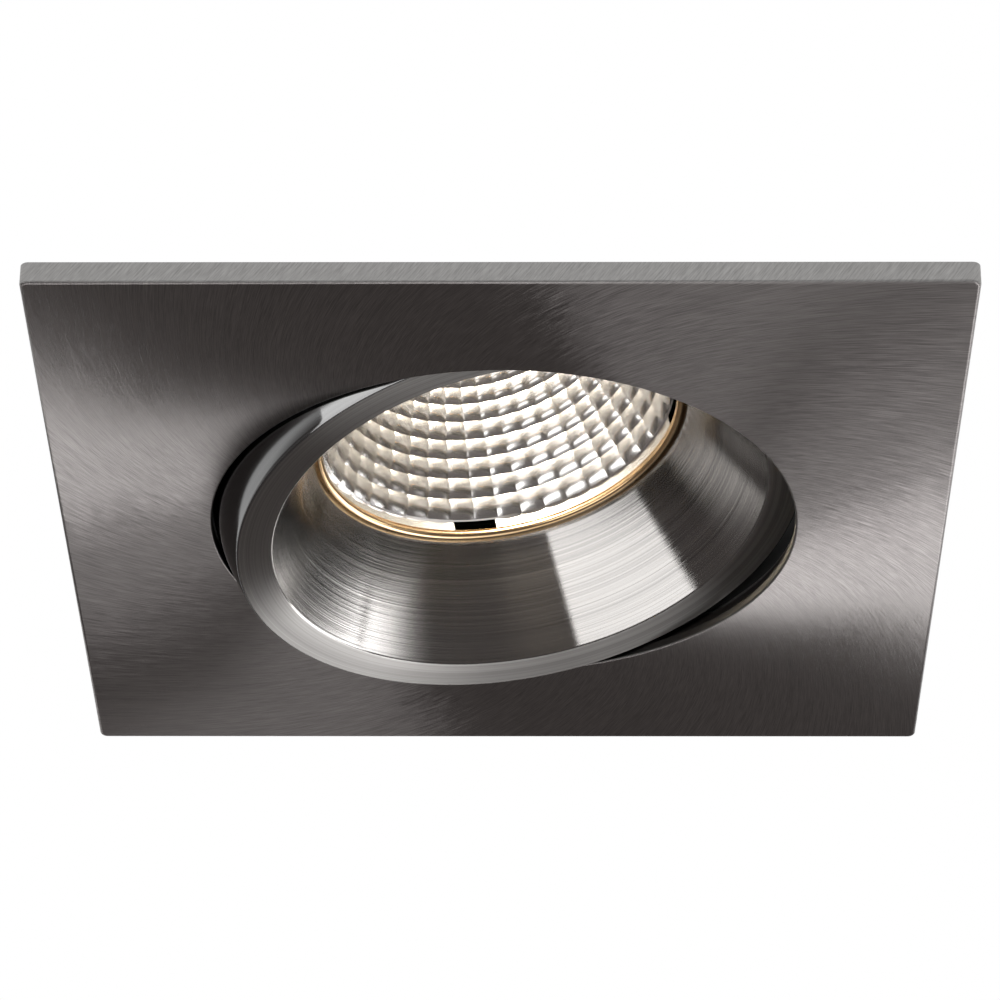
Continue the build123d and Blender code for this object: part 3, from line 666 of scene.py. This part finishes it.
def softbox(name, azimuth, elevation, width, height, brightness, roll=0.0, fades=False):
    """Lamp that faces the origin, its place and size in degrees from there; a fading one dims to one side."""
    a, e = math.radians(azimuth), math.radians(elevation)
    away = Vector((math.cos(a) * math.cos(e), math.sin(a) * math.cos(e), math.sin(e)))
    lamp = bpy.data.lights.new(name, "AREA")
    lamp.shape = "RECTANGLE"
    lamp.size = 2 * LAMP_DISTANCE * math.tan(math.radians(width / 2))
    lamp.size_y = 2 * LAMP_DISTANCE * math.tan(math.radians(height / 2))
    lamp.energy = brightness * math.pi * lamp.size * lamp.size_y
    if fades:
        lamp.use_nodes = True
        lamp_nodes, lamp_links = lamp.node_tree.nodes, lamp.node_tree.links
        across = lamp_nodes.new("ShaderNodeSeparateXYZ")
        lamp_links.new(lamp_nodes.new("ShaderNodeNewGeometry").outputs["Parametric"], across.inputs[0])
        fade = lamp_nodes.new("ShaderNodeMath")
        fade.operation = "POWER"
        fade.inputs[1].default_value = 2.0
        lamp_links.new(across.outputs["X"], fade.inputs[0])
        lamp_links.new(fade.outputs[0], lamp_nodes["Emission"].inputs["Strength"])
    obj = bpy.data.objects.new(name, lamp)
    obj.location = away * LAMP_DISTANCE
    turned = away.to_track_quat("Z", "Y").to_matrix() @ Matrix.Rotation(math.radians(roll), 3, "Z")
    obj.rotation_euler = turned.to_euler()
    obj.visible_camera = False
    scene.collection.objects.link(obj)


softbox("left_box", -134.3, -22, 55, 44, 2.25)
softbox("right_box", 38, -42, 27, 33, 4.6, roll=-25)
softbox("right_strip_box", 14, -12, 40, 20, 6.4)
softbox("right_front_box", -24, -12, 34, 18, 5.6, roll=35, fades=True)
softbox("right_low_box", 28, -66, 50, 34, 1.05)
softbox("back_top_box", 100, 60, 40, 40, 2.2)

# Camera at the photograph's viewpoint
elevation, yaw, roll = (math.radians(v) for v in CAMERA_ANGLES)
level = Vector((math.cos(yaw), math.sin(yaw), 0))
ahead = Vector((-math.sin(yaw), math.cos(yaw), 0))
backward = ahead * -math.cos(elevation) - Vector((0, 0, math.sin(elevation)))
upward = backward.cross(level)
right = level * math.cos(roll) + upward * math.sin(roll)
up = upward * math.cos(roll) - level * math.sin(roll)
camera = bpy.data.cameras.new("camera")
camera.sensor_width = 36.0
camera.lens = CAMERA_LENS
camera.clip_start = 0.01
camera_object = bpy.data.objects.new("camera", camera)
turned = Matrix((right, up, backward)).transposed().to_4x4()
camera_object.matrix_world = Matrix.Translation(CAMERA_PLACE) @ turned
scene.collection.objects.link(camera_object)
scene.camera = camera_object

bpy.context.view_layer.update()
